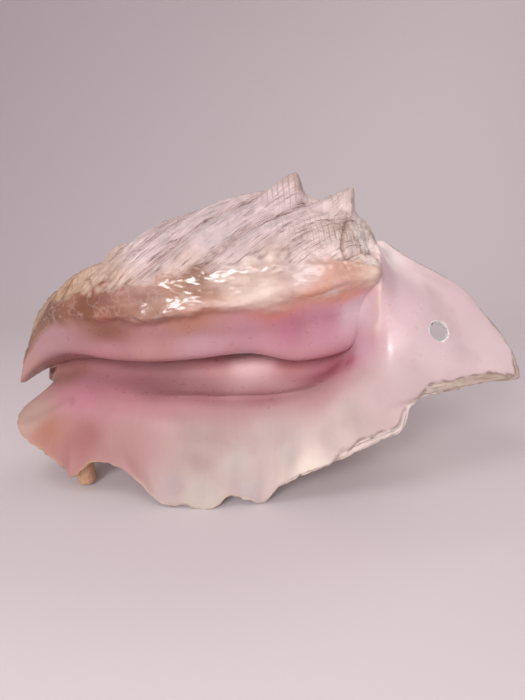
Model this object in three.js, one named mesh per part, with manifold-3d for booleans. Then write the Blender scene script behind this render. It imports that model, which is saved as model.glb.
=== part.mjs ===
// Queen conch shell, lying on a table with its mouth towards -Y. Millimetres, +Z up.
import * as THREE from 'three';
import { mergeVertices } from 'three/addons/utils/BufferGeometryUtils.js';
import Module from 'manifold-3d';

const wasm = await Module();
wasm.setup();

// Driving dimensions
const shellLength = 222;
const lipThickness = 3;
const tolerance = 0.02;
const frameCentre = new THREE.Vector2(2.62, 6.09);
const bodySteps = 38;
const bodySides = 40;
const lipSteps = 80;
const lipSides = 22;
const spireSteps = 18;
const spireSides = 36;
const apex = new THREE.Vector3(92, 20, 66);
const spireFoot = new THREE.Vector3(50, 13, 59);
const spireRadius = 34;
const whorlGrowth = 1.55;
const spireKnobs = 8;
const holeCentre = new THREE.Vector3(75.1, -27, 65.7);
const holeDiameter = 9;
const holeTilt = new THREE.Vector3(-0.02, 0.94, -0.33);
const nubCentre = new THREE.Vector3(-76, -39.5, 9);
const nubDiameter = 8;
const nubLength = 10.6;
const nubLean = 0.3;

// Body whorl sections from the tip of the siphonal canal to the shoulder. Each runs from the
// edge of the columella up its face, over the glaze and the top, down the back, and in again.
const bodySections = [
  [[-108.6, -20, 40.8], [-107, -21, 46], [-105.5, -20.5, 51], [-104.2, -18, 57.5], [-103.2, -14, 64.5],
    [-101.5, -10.5, 63], [-101.5, -11, 57], [-102, -12, 52],
    [-103, -14, 47], [-105, -16, 43], [-107, -18.5, 40.5]],
  [[-94.5, -22, 53], [-94.6, -24, 59], [-93.5, -25, 67], [-94, -21, 74], [-95, -13, 77],
    [-93, 0, 74], [-91, 8, 64], [-91, 8, 54], [-92, 4, 46], [-93, -4, 46], [-94, -14, 49]],
  [[-82, -23, 55], [-80.5, -27, 62], [-79, -30, 71], [-78.5, -28, 80.4], [-83, -12, 87],
    [-80, 8, 84], [-78, 22, 68], [-78, 22, 50], [-79, 14, 38], [-80, 2, 45], [-81, -12, 52]],
  [[-66.9, -23, 52.3], [-65, -28, 61], [-62.5, -34, 73], [-61.5, -34, 85], [-67.6, -10, 95],
    [-62, 16, 92], [-60, 33, 70], [-60, 32, 45], [-62, 20, 32], [-64, 8, 44], [-66, -8, 50.5]],
  [[-49.4, -23, 51.4], [-47.8, -28, 61.6], [-45.5, -36, 74.7], [-44.4, -38, 88.2], [-50.2, -5, 107],
    [-45, 26, 101], [-42, 44, 72], [-42, 42, 42], [-44, 30, 24], [-47, 16, 42], [-48, -6, 49]],
  [[-27.4, -23, 52.8], [-26.4, -29, 64], [-25, -38, 77.4], [-24.3, -40, 92], [-27.9, -3, 116],
    [-24, 32, 107], [-22, 52, 75], [-22, 50, 42], [-24, 36, 20], [-26, 24, 42], [-27, -5, 50]],
  [[-5.5, -22, 55.2], [-5.3, -29, 66.6], [-5, -39, 79.6], [-4.8, -41, 93.6], [-5.6, -1, 121.5],
    [-3, 37, 110], [-1, 57, 77], [-1, 55, 42], [-3, 40, 18], [-5, 28, 41], [-5, -5, 52]],
  [[16.5, -22, 52.1], [15.9, -28, 66.4], [14.9, -38, 81.5], [14.5, -40, 97.7], [16.9, 0, 121],
    [19, 40, 110], [21, 60, 78], [21, 58, 42], [19, 42, 17], [17, 24, 42], [16.5, -6, 50]],
  [[37.2, -16, 54.2], [35.3, -24, 70.8], [32.9, -36, 86.4], [32.2, -38, 97.2], [36, 0, 115],
    [38, 36, 104], [40, 55, 78], [40, 54, 44], [38, 40, 20], [37, 6, 50], [37, -8, 52]],
  [[45.4, -14, 62.9], [46.5, -21, 77], [45.6, -31, 86], [46, -34, 93], [49, 0, 107],
    [53, 26, 100], [55, 40, 76], [55, 40, 50], [52, 28, 34], [48, 4, 52], [46, -8, 58]],
  [[56, -4, 64], [57, -6, 70], [57, -8, 76], [57, -8, 80], [58, 2, 84],
    [58, 12, 82], [58, 20, 72], [58, 20, 60], [57, 14, 52], [56, 6, 54], [56, 0, 58]]
];

// Free edge of the outer lip: station along the lip, then its point.
const rim = [
  [0.5, -99.7, -10, 38.7], [1, -97.4, -8, 36.1], [1.2, -98.8, -10, 32.7], [1.4, -100.8, -14, 30.7],
  [1.6, -104.9, -20, 28.9], [1.8, -106.3, -26, 29.7], [2, -104.6, -36, 28], [2.2, -99.9, -42, 23.3],
  [2.45, -90.8, -46, 19.3], [2.7, -82.4, -48, 13.1], [2.85, -78.8, -48, 8.5], [3, -74.5, -48, 11.5],
  [3.15, -71.5, -48, 15], [3.3, -66, -50, 15.9], [3.5, -61.6, -51, 15.5], [3.8, -53, -54, 12.6],
  [4.1, -47.2, -56, 8], [4.3, -42, -57, 2.8], [4.6, -36.8, -58, 0.7], [4.8, -31.2, -58, 1.2],
  [5.2, -23.2, -59, -0.6], [5.45, -17.3, -58, 2.1], [5.65, -13.3, -57, 5], [6, -5.4, -56, 2.7],
  [6.3, 0.6, -55, 0.2], [6.55, 6.6, -55, 7.4], [6.85, 12.6, -54, 10.4], [7.3, 23, -53, 14.7],
  [7.8, 33.8, -52, 19.5], [8.4, 47.2, -50, 25.1], [8.8, 56.7, -48, 29.4], [9, 59.5, -46, 37.2],
  [9.3, 65.7, -43, 42.1], [9.8, 78.3, -38, 43], [10.5, 98.6, -30, 44], [11, 113, -24, 43.5],
  [11.4, 112.8, -20, 51.1], [12, 110.2, -14, 58.8], [12.6, 103, -8, 68.7], [13.2, 93.8, -3, 79.6],
  [14, 80.3, 2, 88.3], [15, 65.9, 6, 95.9], [16, 57, 8, 101.8], [17, 49, 10, 101]
];

// Outer lip sections: station, then points in from the rim along the mouth, and back out along
// the outside of the shell.
const lipSections = [
  [0.5, [-99.5, -11, 41.5], [-99, -11, 45], [-98, -10, 49], [-96, -6, 52],
    [-93, -1, 50], [-92.5, -1, 46], [-93, -2, 42], [-94.5, -4, 39], [-97, -7, 37.5]],
  [1, [-97.2, -8.5, 39], [-97, -8, 42], [-96, -6, 46], [-94, -2, 50],
    [-89.5, 3, 48], [-89, 2.5, 42], [-90, 1, 37.5], [-92, -2, 35], [-95, -6, 34]],
  [2, [-97, -27, 34.5], [-90, -17, 39], [-84.5, -7, 43], [-82, 2, 47],
    [-79, 10, 40], [-80, 5, 34], [-83, -3, 32], [-89, -14, 32], [-97, -25, 29.5]],
  [3, [-76, -39, 24.5], [-78, -27, 33], [-76, -8, 41.5], [-70, 6, 46],
    [-64, 22, 36], [-66, 14, 26], [-70, 0, 25], [-74, -20, 24], [-73, -36, 19]],
  [4, [-53, -46, 22], [-53, -31, 34], [-54, -3, 38.5], [-48, 17, 45],
    [-42, 38, 34], [-44, 26, 17], [-50, 2, 18], [-52, -22, 23], [-52, -42, 15.5]],
  [5, [-26, -50, 18], [-26.7, -34, 33.6], [-30, 0, 37.5], [-26, 24, 45],
    [-22, 47, 32], [-24, 30, 10], [-28, 4, 13], [-27, -24, 22.5], [-26, -45, 13]],
  [6, [-5, -49, 19.5], [-5.3, -35, 33], [-6, 2, 37.5], [-5, 28, 45],
    [-1, 52, 32], [-3, 34, 8], [-6, 6, 11], [-5, -24, 21.5], [-5, -44, 13.5]],
  [7, [15.5, -47.5, 25], [16, -34, 36.5], [18.6, -1, 40], [17, 24, 46],
    [21, 54, 32], [19, 36, 8], [18, 4, 13], [16, -24, 23], [15.5, -43, 18.5]],
  [8, [35, -45, 32], [34.5, -35, 43], [37, -13, 50], [37, 4, 54],
    [44, 50, 34], [42, 32, 12], [38, 0, 20], [36, -24, 30], [36, -41, 26.5]],
  [9, [50.5, -43, 37.5], [47, -36, 48], [43.5, -20, 58], [40, -8, 62],
    [54, 34, 36], [54, 20, 24], [52, -2, 26], [51, -24, 33], [54, -38, 33.5]],
  [10, [66, -39, 45], [54, -35, 54], [46, -24, 66], [38, -12, 66],
    [58, 16, 48], [58, 8, 40], [58, -4, 38], [60, -22, 42], [70, -33, 42]],
  [11, [82, -32.5, 53], [58, -32, 63], [47, -27, 73], [39, -14, 73],
    [60, 8, 56], [60, 0, 52], [60, -10, 50], [66, -22, 52], [86, -28, 49]],
  [12, [83, -26, 62.5], [58, -30, 72], [46.5, -29, 79.5], [39, -16, 79],
    [60, 4, 70], [60, -4, 66], [61, -12, 64], [68, -22, 63], [88, -22, 59]],
  [13, [77, -18.5, 77], [58, -27, 81], [46, -31, 86], [39, -18, 85],
    [59, 0, 80], [60, -8, 77], [61, -16, 75], [67, -18, 73.5], [80, -14, 73]],
  [14, [69, -10, 86.5], [57, -21, 88.5], [46.5, -29, 92], [40, -16, 90],
    [58, -2, 87], [59, -8, 85], [60, -13, 84], [65, -10, 83], [73, -4, 83.5]],
  [15, [60.5, -2, 93.5], [54.5, -13, 95], [47.5, -22, 98.5], [42, -11, 96],
    [56, 0, 93], [57, -4, 91.5], [59, -6, 90.5], [62, -2, 90.5], [65, 3, 92]],
  [16, [55, 1, 99.5], [52, -6, 100.5], [48, -12, 102], [43, -5, 98],
    [55, 0, 96], [56, 1, 96], [57, 2, 96], [58, 4, 97], [58, 7, 99]],
  [17, [48, 5, 98], [47, 0, 98], [46, -4, 99], [46, 0, 96],
    [48, 2, 95], [49, 3, 95], [50, 4, 95], [51, 6, 96], [51, 9, 98]]
];

// Shoulder spines: foot on the body whorl, tip, and radius of the foot.
const spines = [
  { foot: [43, -32, 92], tip: [46, -37, 94], radius: 10 },
  { foot: [33, -5, 113], tip: [40, -8, 126], radius: 13 },
  { foot: [9, -2, 119], tip: [15, -3, 134], radius: 15 },
  { foot: [10, 38, 104], tip: [14, 51, 123], radius: 15 },
  { foot: [8, 56, 76], tip: [13, 74, 85], radius: 15 },
  { foot: [8, 54, 40], tip: [13, 70, 32], radius: 14 },
  { foot: [18, 38, 9], tip: [20, 41, -5], radius: 18 }
];

const point = (numbers) => new THREE.Vector3(...numbers);

// Curve through rows of points, read by station.
function guide(stations, points) {
  const curve = new THREE.CatmullRomCurve3(points, false, 'catmullrom', 0.5);
  return (station) => {
    let i = 0;
    while (i < stations.length - 2 && station > stations[i + 1]) i++;
    const part = (station - stations[i]) / (stations[i + 1] - stations[i]);
    return curve.getPoint((i + part) / (stations.length - 1));
  };
}

// Closed solid from rings of points, the same number in each.
function ringSolid(rings) {
  const positions = [];
  const faces = [];
  const count = rings[0].length;
  rings.forEach((ring) => ring.forEach((p) => positions.push(p.x, p.y, p.z)));
  for (let i = 0; i < rings.length - 1; i++) {
    for (let j = 0; j < count; j++) {
      const a = i * count + j;
      const b = i * count + (j + 1) % count;
      faces.push(a, b, a + count, b, b + count, a + count);
    }
  }
  for (const [ring, first, turn] of [[rings[0], 0, 1], [rings.at(-1), (rings.length - 1) * count, 0]]) {
    const middle = new THREE.Vector3();
    ring.forEach((p) => middle.addScaledVector(p, 1 / count));
    positions.push(middle.x, middle.y, middle.z);
    const centre = positions.length / 3 - 1;
    for (let j = 0; j < count; j++) {
      const a = first + j;
      const b = first + (j + 1) % count;
      faces.push(...(turn ? [centre, b, a] : [centre, a, b]));
    }
  }
  const geometry = new THREE.BufferGeometry();
  geometry.setAttribute('position', new THREE.Float32BufferAttribute(positions, 3));
  geometry.setIndex(faces);
  return toSolid(geometry);
}

function toSolid(source) {
  let geometry = source.clone();
  geometry.deleteAttribute('normal');
  geometry.deleteAttribute('uv');
  geometry = mergeVertices(geometry, 1e-4);
  const triVerts = new Uint32Array(geometry.index.array);
  const vertProperties = new Float32Array(geometry.attributes.position.array);
  let solid = new wasm.Manifold(new wasm.Mesh({ numProp: 3, vertProperties, triVerts, tolerance }));
  if (solid.volume() < 0) {
    for (let i = 0; i < triVerts.length; i += 3) {
      [triVerts[i], triVerts[i + 1]] = [triVerts[i + 1], triVerts[i]];
    }
    solid = new wasm.Manifold(new wasm.Mesh({ numProp: 3, vertProperties, triVerts, tolerance }));
  }
  return solid;
}

function toGeometry(solid) {
  const mesh = solid.getMesh();
  const geometry = new THREE.BufferGeometry();
  geometry.setAttribute('position', new THREE.Float32BufferAttribute(mesh.vertProperties, 3));
  geometry.setIndex(Array.from(mesh.triVerts));
  geometry.computeVertexNormals();
  return geometry;
}

function raiseSpines(p) {
  const moved = p.clone();
  for (const spine of spines) {
    const foot = point(spine.foot);
    const near = Math.max(0, 1 - p.distanceTo(foot) / spine.radius);
    moved.addScaledVector(point(spine.tip).sub(foot), near ** 1.5);
  }
  return moved;
}

function makeBody() {
  const stations = bodySections.map((section, i) => i);
  const rails = bodySections[0].map((p, j) => bodySections.map((section) => point(section[j])));
  const guides = rails.map((rail) => guide(stations, rail));
  const rings = [];
  for (let i = 0; i <= bodySteps; i++) {
    const station = (bodySections.length - 1) * i / bodySteps;
    const loop = new THREE.CatmullRomCurve3(guides.map((g) => g(station)), true, 'centripetal');
    const ring = [];
    for (let j = 0; j < bodySides; j++) ring.push(raiseSpines(loop.getPoint(j / bodySides)));
    rings.push(ring);
  }
  return ringSolid(rings);
}

function makeLip() {
  const rimGuide = guide(rim.map((row) => row[0]), rim.map((row) => point(row.slice(1))));
  const stations = lipSections.map((section) => section[0]);
  const keys = lipSections[0].slice(1).map((p, j) => j + 1);
  const guides = keys.map((j) => guide(stations, lipSections.map((section) => point(section[j]))));
  const rings = [];
  for (let i = 0; i <= lipSteps; i++) {
    const station = THREE.MathUtils.lerp(stations[0], stations.at(-1), i / lipSteps);
    const edge = rimGuide(station);
    const others = guides.map((g) => g(station));
    const back = edge.clone().lerp(others.at(-1), 0.15);
    const across = others.at(-1).clone().sub(others[0]).normalize();
    back.addScaledVector(across, lipThickness * 0.5);
    const loop = new THREE.CatmullRomCurve3([edge, ...others, back], true, 'centripetal');
    const ring = [];
    for (let j = 0; j < lipSides; j++) ring.push(raiseSpines(loop.getPoint(j / lipSides)));
    rings.push(ring);
  }
  return ringSolid(rings);
}

// Whorls of the spire as a spiral step on a cone, with a row of knobs at the shoulder.
function makeSpire() {
  const spireHeight = apex.x - spireFoot.x;
  const rings = [];
  for (let i = 0; i <= spireSteps; i++) {
    const down = spireHeight * (0.02 + 0.98 * (i / spireSteps) ** 1.1);
    const ring = [];
    for (let j = 0; j < spireSides; j++) {
      const angle = 2 * Math.PI * j / spireSides;
      const whorl = Math.log(down / spireHeight) / Math.log(whorlGrowth) - angle / (2 * Math.PI) + 20;
      const along = whorl - Math.floor(whorl);
      const ramp = along < 0.78 ? 0.84 + 0.2 * along / 0.78 : 1.04 - 0.2 * (along - 0.78) / 0.22;
      const knob = Math.max(0, Math.cos(spireKnobs * (angle + 2 * Math.PI * Math.floor(whorl))));
      const rise = 0.1 * knob ** 2 * Math.exp(-(((along - 0.74) / 0.16) ** 2));
      const radius = spireRadius * (down / spireHeight) ** 0.92 * (ramp + rise);
      const axis = apex.clone().lerp(spireFoot, down / spireHeight);
      ring.push(axis.add(new THREE.Vector3(0, -radius * Math.cos(angle), radius * Math.sin(angle))));
    }
    rings.push(ring);
  }
  return ringSolid(rings);
}

function makeHole() {
  const drill = new THREE.CylinderGeometry(holeDiameter / 2, holeDiameter / 2, 30, 24);
  drill.applyQuaternion(new THREE.Quaternion().setFromUnitVectors(
    new THREE.Vector3(0, 1, 0), holeTilt.clone().normalize()));
  drill.translate(holeCentre.x, holeCentre.y, holeCentre.z);
  return toSolid(drill);
}

// Rounded end of the ridge that runs down the outside to the stromboid notch.
function makeNub() {
  const nub = new THREE.CapsuleGeometry(nubDiameter / 2, nubLength, 6, 14);
  nub.rotateX(nubLean);
  nub.translate(nubCentre.x, nubCentre.y, nubCentre.z);
  return toSolid(nub);
}

// The three points it stands on are worn flat.
function makeGround() {
  const ground = new THREE.BoxGeometry(2 * shellLength, shellLength, 20);
  ground.translate(0, 0, -10);
  return toSolid(ground);
}

const grown = makeBody().add(makeLip()).add(makeNub()).add(makeSpire());
const shell = grown.subtract(makeHole()).subtract(makeGround());

const material = new THREE.MeshStandardMaterial({ color: 0xe6c3bd, roughness: 0.35, metalness: 0 });
const conchShell = new THREE.Mesh(toGeometry(shell), material);
conchShell.name = 'conch_shell';
conchShell.position.set(-frameCentre.x, -frameCentre.y, 0);

const group = new THREE.Group();
group.add(conchShell);

export default group;
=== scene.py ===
import math
import bmesh
import bpy
import numpy as np
from mathutils import Matrix, Vector, noise


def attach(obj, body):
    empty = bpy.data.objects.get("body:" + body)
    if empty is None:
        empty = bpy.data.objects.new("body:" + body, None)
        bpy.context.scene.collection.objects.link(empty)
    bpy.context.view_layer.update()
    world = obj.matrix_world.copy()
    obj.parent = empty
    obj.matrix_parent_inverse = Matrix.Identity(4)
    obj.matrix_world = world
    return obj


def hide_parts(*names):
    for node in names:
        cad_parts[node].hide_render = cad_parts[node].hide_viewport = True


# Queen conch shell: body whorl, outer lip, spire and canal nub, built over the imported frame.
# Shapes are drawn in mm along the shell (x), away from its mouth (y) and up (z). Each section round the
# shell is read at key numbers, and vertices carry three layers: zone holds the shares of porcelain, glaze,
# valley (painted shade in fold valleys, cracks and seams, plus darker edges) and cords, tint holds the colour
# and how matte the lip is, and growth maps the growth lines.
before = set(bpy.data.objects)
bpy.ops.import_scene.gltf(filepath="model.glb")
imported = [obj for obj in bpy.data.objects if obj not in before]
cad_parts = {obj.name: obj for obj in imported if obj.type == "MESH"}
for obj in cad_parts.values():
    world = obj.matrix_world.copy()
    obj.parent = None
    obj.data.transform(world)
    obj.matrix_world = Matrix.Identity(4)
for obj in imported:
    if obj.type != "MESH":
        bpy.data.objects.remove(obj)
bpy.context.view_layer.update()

frameCentre = (2.62, 6.09, 0)  # mm from the drawing's origin to the frame's
mmPerMetre = 1000
alongShell = np.array([0.5, 1, 1])  # stretches noise to twice its length along the shell
farAlongShell = np.array([0.4, 1, 1])


def say(stage):
    print("conch:", stage, flush=True)


def linear(hexColour):  # sRGB hex to linear rgba
    value = hexColour.lstrip("#")
    out = []
    for i in (0, 2, 4):
        c = int(value[i:i + 2], 16) / 255
        out.append(c / 12.92 if c <= 0.04045 else ((c + 0.055) / 1.055) ** 2.4)
    return (*out, 1.0)


def addNode(tree, kind, settings=None, links=None):
    node = tree.nodes.new(kind)
    for key, value in (settings or {}).items():
        if isinstance(key, int) or key in node.inputs:
            node.inputs[key].default_value = value
        else:
            setattr(node, key, value)
    for key, source in (links or {}).items():
        tree.links.new(source, node.inputs[key])
    return node


def catmull(rows, at):  # rows (n, ..., 3) read at fractional row numbers
    rows = np.asarray(rows, float)
    n = len(rows)
    padded = np.concatenate([[2 * rows[0] - rows[1]], rows, [2 * rows[-1] - rows[-2]]])
    at = np.clip(np.asarray(at, float), 0, n - 1 - 1e-9)
    i = at.astype(int)
    t = (at - i).reshape(-1, *([1] * (rows.ndim - 1)))
    p0, p1, p2, p3 = padded[i], padded[i + 1], padded[i + 2], padded[i + 3]
    return 0.5 * (2 * p1 + (p2 - p0) * t + (2 * p0 - 5 * p1 + 4 * p2 - p3) * t ** 2
                  + (3 * p1 - p0 - 3 * p2 + p3) * t ** 3)


def rowNumbers(stations, at):
    return np.interp(at, stations, np.arange(len(stations)))


def closedLoop(keys, at):  # keys (sections, k, 3), centripetal, read at key numbers
    k = keys.shape[1]
    i = np.floor(at).astype(int)
    t = (at - i)[None, :, None]
    p = [keys[:, (i + o) % k] for o in (-1, 0, 1, 2)]
    d = [np.maximum(np.linalg.norm(b - a, axis=2, keepdims=True), 1e-3) ** 0.5 for a, b in zip(p, p[1:])]
    t1 = ((p[1] - p[0]) / d[0] - (p[2] - p[0]) / (d[0] + d[1]) + (p[2] - p[1]) / d[1]) * d[1]
    t2 = ((p[2] - p[1]) / d[1] - (p[3] - p[1]) / (d[1] + d[2]) + (p[3] - p[2]) / d[2]) * d[1]
    return ((2 * t ** 3 - 3 * t ** 2 + 1) * p[1] + (t ** 3 - 2 * t ** 2 + t) * t1
            + (-2 * t ** 3 + 3 * t ** 2) * p[2] + (t ** 3 - t ** 2) * t2)


def spread(counts):  # key numbers with that many samples in each key's span
    return np.concatenate([k + np.arange(n) / n for k, n in enumerate(counts)])


def step(low, high, value):
    t = np.clip((value - low) / (high - low), 0, 1)
    return t * t * (3 - 2 * t)


def hill(value, centre, width):
    return np.exp(-((value - centre) / width) ** 2)


def distances(points, place):
    return np.linalg.norm(points - np.array(place), axis=2)


def mound(points, centre, size, height):  # a rounded rise, or a hollow where height is negative
    return height * np.exp(-np.sum(((points - np.array(centre)) / np.array(size)) ** 2, axis=2))


def lumps(points, size, seed):  # smooth noise at each point, about -1 to 1
    shift = Vector((seed * 17.3, seed * 5.1, seed * 11.7))
    flat = points.reshape(-1, 3) / size
    values = np.array([noise.noise(Vector(p) + shift) for p in flat])
    return values.reshape(points.shape[:-1]) * 1.6


def gridNormals(points):
    along = np.gradient(points, axis=0)
    around = np.roll(points, -1, 1) - np.roll(points, 1, 1)
    normal = np.cross(around, along)
    return normal / np.maximum(np.linalg.norm(normal, axis=2, keepdims=True), 1e-9)


def inFrame(place):  # mm of the drawing to metres of the frame
    return (Vector(place) - Vector(frameCentre)) / mmPerMetre


def addObject(name, bm, smooth=True):
    mesh = bpy.data.meshes.new(name)
    bm.to_mesh(mesh)
    bm.free()
    mesh.polygons.foreach_set("use_smooth", [smooth] * len(mesh.polygons))
    made = bpy.data.objects.new(name, mesh)
    bpy.context.collection.objects.link(made)
    return made


def paintPlain(bm, zone, colour):
    zoneLayer = bm.verts.layers.float_color.new("zone")
    tintLayer = bm.verts.layers.float_color.new("tint")
    for vert in bm.verts:
        vert[zoneLayer] = zone
        vert[tintLayer] = linear(colour)


# a grid rolled into a closed skin: rows along the shell, columns round each section
def skinMesh(name, points, growth, masks, tints):
    rows, columns = points.shape[:2]
    bm = bmesh.new()
    bmesh.ops.create_grid(bm, x_segments=columns, y_segments=rows - 1, size=1.0)
    bm.verts.ensure_lookup_table()
    uvLayer = bm.loops.layers.uv.new("growth")
    maskLayer = bm.verts.layers.float_color.new("zone")
    tintLayer = bm.verts.layers.float_color.new("tint")
    place = (points - np.array(frameCentre)) / mmPerMetre
    count = columns + 1
    for index, vert in enumerate(bm.verts):
        i, j = divmod(index, count)
        vert.co = place[i, j % columns]
        vert[maskLayer] = masks[i, j % columns]
        vert[tintLayer] = tints[i, j % columns]
    for face in bm.faces:
        for loop in face.loops:
            i, j = divmod(loop.vert.index, count)
            loop[uvLayer].uv = growth[i, j]
    seam = [v for v in bm.verts if v.index % count in (0, columns)]
    bmesh.ops.remove_doubles(bm, verts=seam, dist=1e-7)
    ends = [e for e in bm.edges if e.is_boundary]
    filled = bmesh.ops.holes_fill(bm, edges=ends, sides=0)
    bmesh.ops.poke(bm, faces=filled["faces"])
    bmesh.ops.recalc_face_normals(bm, faces=bm.faces)
    if bm.calc_volume(signed=True) < 0:
        bmesh.ops.reverse_faces(bm, faces=bm.faces)
    return addObject(name, bm)


# sections from the tip of the canal to the shoulder, in mm; each runs from the columella's edge up its
# face, over the glaze and the top, down the back and in again
bodySections = [
    [[-108.6, -20, 40.8], [-107, -21, 46], [-105.5, -20.5, 51], [-104.2, -18, 57.5], [-103.2, -14, 64.5],
      [-101.5, -10.5, 63], [-101.5, -11, 57], [-102, -12, 52], [-103, -14, 47], [-105, -16, 43],
      [-107, -18.5, 40.5]],
    [[-94.5, -22, 53], [-94.6, -24, 59], [-93.5, -25, 67], [-94, -21, 74], [-95, -13, 77],
      [-93, 0, 74], [-91, 8, 64], [-91, 8, 54], [-92, 4, 46], [-93, -4, 46], [-94, -14, 49]],
    [[-82, -23, 55], [-80.5, -27, 62], [-79, -30, 71], [-78.5, -28, 80.4], [-83, -12, 87],
      [-80, 8, 84], [-78, 22, 68], [-78, 22, 50], [-79, 14, 38], [-80, 2, 45], [-81, -12, 52]],
    [[-66.9, -23, 52.3], [-65, -28, 61], [-62.5, -34, 73], [-61.5, -34, 85], [-67.6, -10, 95],
      [-62, 16, 92], [-60, 33, 70], [-60, 32, 45], [-62, 20, 32], [-64, 8, 44], [-66, -8, 50.5]],
    [[-49.4, -23, 51.4], [-47.8, -28, 61.6], [-45.5, -36, 74.7], [-44.4, -38, 88.2], [-50.2, -5, 107],
      [-45, 26, 101], [-42, 44, 72], [-42, 42, 42], [-44, 30, 24], [-47, 16, 42], [-48, -6, 49]],
    [[-27.4, -23, 52.8], [-26.4, -29, 64], [-25, -38, 77.4], [-24.3, -40, 92], [-27.9, -3, 116],
      [-24, 32, 107], [-22, 52, 75], [-22, 50, 42], [-24, 36, 20], [-26, 24, 42], [-27, -5, 50]],
    [[-5.5, -22, 55.2], [-5.3, -29, 66.6], [-5, -39, 79.6], [-4.8, -41, 93.6], [-5.6, -1, 121.5],
      [-3, 37, 110], [-1, 57, 77], [-1, 55, 42], [-3, 40, 18], [-5, 28, 41], [-5, -5, 52]],
    [[16.5, -22, 52.1], [15.9, -28, 66.4], [14.9, -38, 81.5], [14.5, -40, 97.7], [16.9, 0, 121],
      [19, 40, 110], [21, 60, 78], [21, 58, 42], [19, 42, 17], [17, 24, 42], [16.5, -6, 50]],
    [[37.2, -16, 54.2], [35.3, -24, 70.8], [32.9, -36, 86.4], [32.2, -38, 97.2], [36, 0, 115],
      [38, 36, 104], [40, 55, 78], [40, 54, 44], [38, 40, 20], [37, 6, 50], [37, -8, 52]],
    [[45.4, -14, 62.9], [46.5, -21, 77], [45.6, -31, 86], [46, -34, 93], [49, 0, 107],
      [53, 26, 100], [55, 40, 76], [55, 40, 50], [52, 28, 34], [48, 4, 52], [46, -8, 58]],
    [[56, -4, 64], [57, -6, 70], [57, -8, 76], [57, -8, 80], [58, 2, 84],
      [58, 12, 82], [58, 20, 72], [58, 20, 60], [57, 14, 52], [56, 6, 54], [56, 0, 58]]
]
body = {
    "rows": 280, "spans": (14, 22, 34, 46, 54, 26, 18, 16, 12, 10, 12),
    # keys where one finish gives way to the next, and how far those edges wander: size, seed, share
    "glazeStations": (-105, -80, -55, -40, -20, 0, 16, 34, 46),
    "glazeTops": (2.8, 2.93, 2.98, 3.08, 3.1, 3.0, 2.93, 2.86, 2.98),
    "outsideFrom": (-0.08, 0.12), "outsideTo": (8.6, 8.2), "glazeFrom": (1.45, 2.2), "glazeTo": (8.5, 8.2),
    "bareFrom": (2.7, 3.4), "bareTo": (8.4, 7.5), "edgeWander": ((10, 1, 0.22), (3.2, 2, 0.10)),
    # folds of three sizes: height in mm, and degrees of growth from one to the next
    "foldHeight": 3.8, "foldTurn": 23.0, "pleatHeight": 0.8, "pleatTurn": 7.7,
    "creaseHeight": 0.3, "creaseTurn": 2.6, "foldWander": 3.5, "foldStart": 3,
    # folds fade at both ends of the shell, near the tips of the spines, and a little in the narrow end
    "foldsFromEnd": (-108, -98), "foldsToSpire": (58, 46), "tipReach": 9, "tipCalm": 0.9,
    "narrowEnd": (-50, -80), "narrowCalm": 0.35,
    # spiral cords in mm, strongest near these places along the shell
    "cordSpacing": 2.3, "cordHeight": 0.2, "cordPlaces": ((36, 26), (-85, 22)),
    # glaze: thickness and ripple in mm; its swellings are height, key, spread, place along, spread
    "glazeHeight": 0.7, "glazeRipple": 0.7, "milkFrom": (-75, 5),
    "swellings": ((4.4, 2.08, 0.36, -40, 30), (2.4, 2.25, 0.3, 22, 13)),
    # cracks: path of (x, z) in mm, width and depth
    "cracks": (
        (((36, 111), (32.5, 106), (31, 101), (33, 97), (38, 95.5)), 0.7, 1.0),
        (((-73, 88), (-70.5, 85), (-70, 81.5)), 0.5, 0.9),
        (((27, 97), (31, 96), (33, 93.5)), 0.5, 0.7),
        (((35.5, 111), (39, 104), (41.5, 98)), 0.5, 0.6)
    ),
    "crackLift": -0.9,
    # hollow behind a spine: key, spread, place along, spread, height
    "spineHollow": (3.35, 0.3, 44, 7, -1.6)
}

# seven shoulder spines, a hollow beside the first, then two steps of the narrow end:
# foot, tip and radius of the foot in mm
spines = [
    ((43, -32, 92), (46, -37, 94), 10),
    ((34, -5, 113), (40, -8, 126.5), 15),
    ((10, -2, 120), (15.8, -3, 132.4), 17),
    ((10, 38, 104), (14, 51, 123), 17),
    ((8, 56, 76), (13, 74, 85), 16),
    ((8, 54, 40), (13, 70, 32), 16),
    ((18, 38, 9), (20, 41, 0.5), 18),
    ((46, -20, 101), (43, -13, 97), 9),
    ((-71, -10, 92), (-70, -9, 89), 8),
    ((-63, -8, 97), (-64, -9, 99.5), 9)
]

spineShape = {"spireSide": 1.45, "canalSide": 0.8, "sharpness": 2.05}


def raiseSpines(points):  # steeper towards the spire
    for foot, tip, radius in spines:
        gap = points - np.array(foot)
        gap[..., 0] *= np.where(gap[..., 0] > 0, spineShape["spireSide"], spineShape["canalSide"])
        near = np.clip(1 - np.linalg.norm(gap, axis=2) / radius, 0, 1)
        points = points + (near ** spineShape["sharpness"])[..., None] * (np.array(tip) - np.array(foot))
    return points


# axis the shell grows round, and how far the growth lines lean, at places along the shell
growthAxis = {
    "stations": (-105, -66, -27, 16, 50, 98), "y": (-14, -5, 2, 6, 10, 6), "z": (45, 50, 56, 60, 58, 59),
    "leanStations": (-110, -80, -55, 40, 60), "leans": (160, 78, 43, -24, -30), "pitch": 0.06
}


def growthOf(points):  # growth angle in degrees and distance along the shell in mm
    x = points[..., 0]
    axisY = np.interp(x, growthAxis["stations"], growthAxis["y"])
    axisZ = np.interp(x, growthAxis["stations"], growthAxis["z"])
    turn = np.degrees(np.arctan2(points[..., 2] - axisZ, -(points[..., 1] - axisY)))
    turn = np.where(turn < -60, turn + 360, turn)
    lean = np.interp(x, growthAxis["leanStations"], growthAxis["leans"])
    return turn + lean, x + turn * growthAxis["pitch"]


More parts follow.
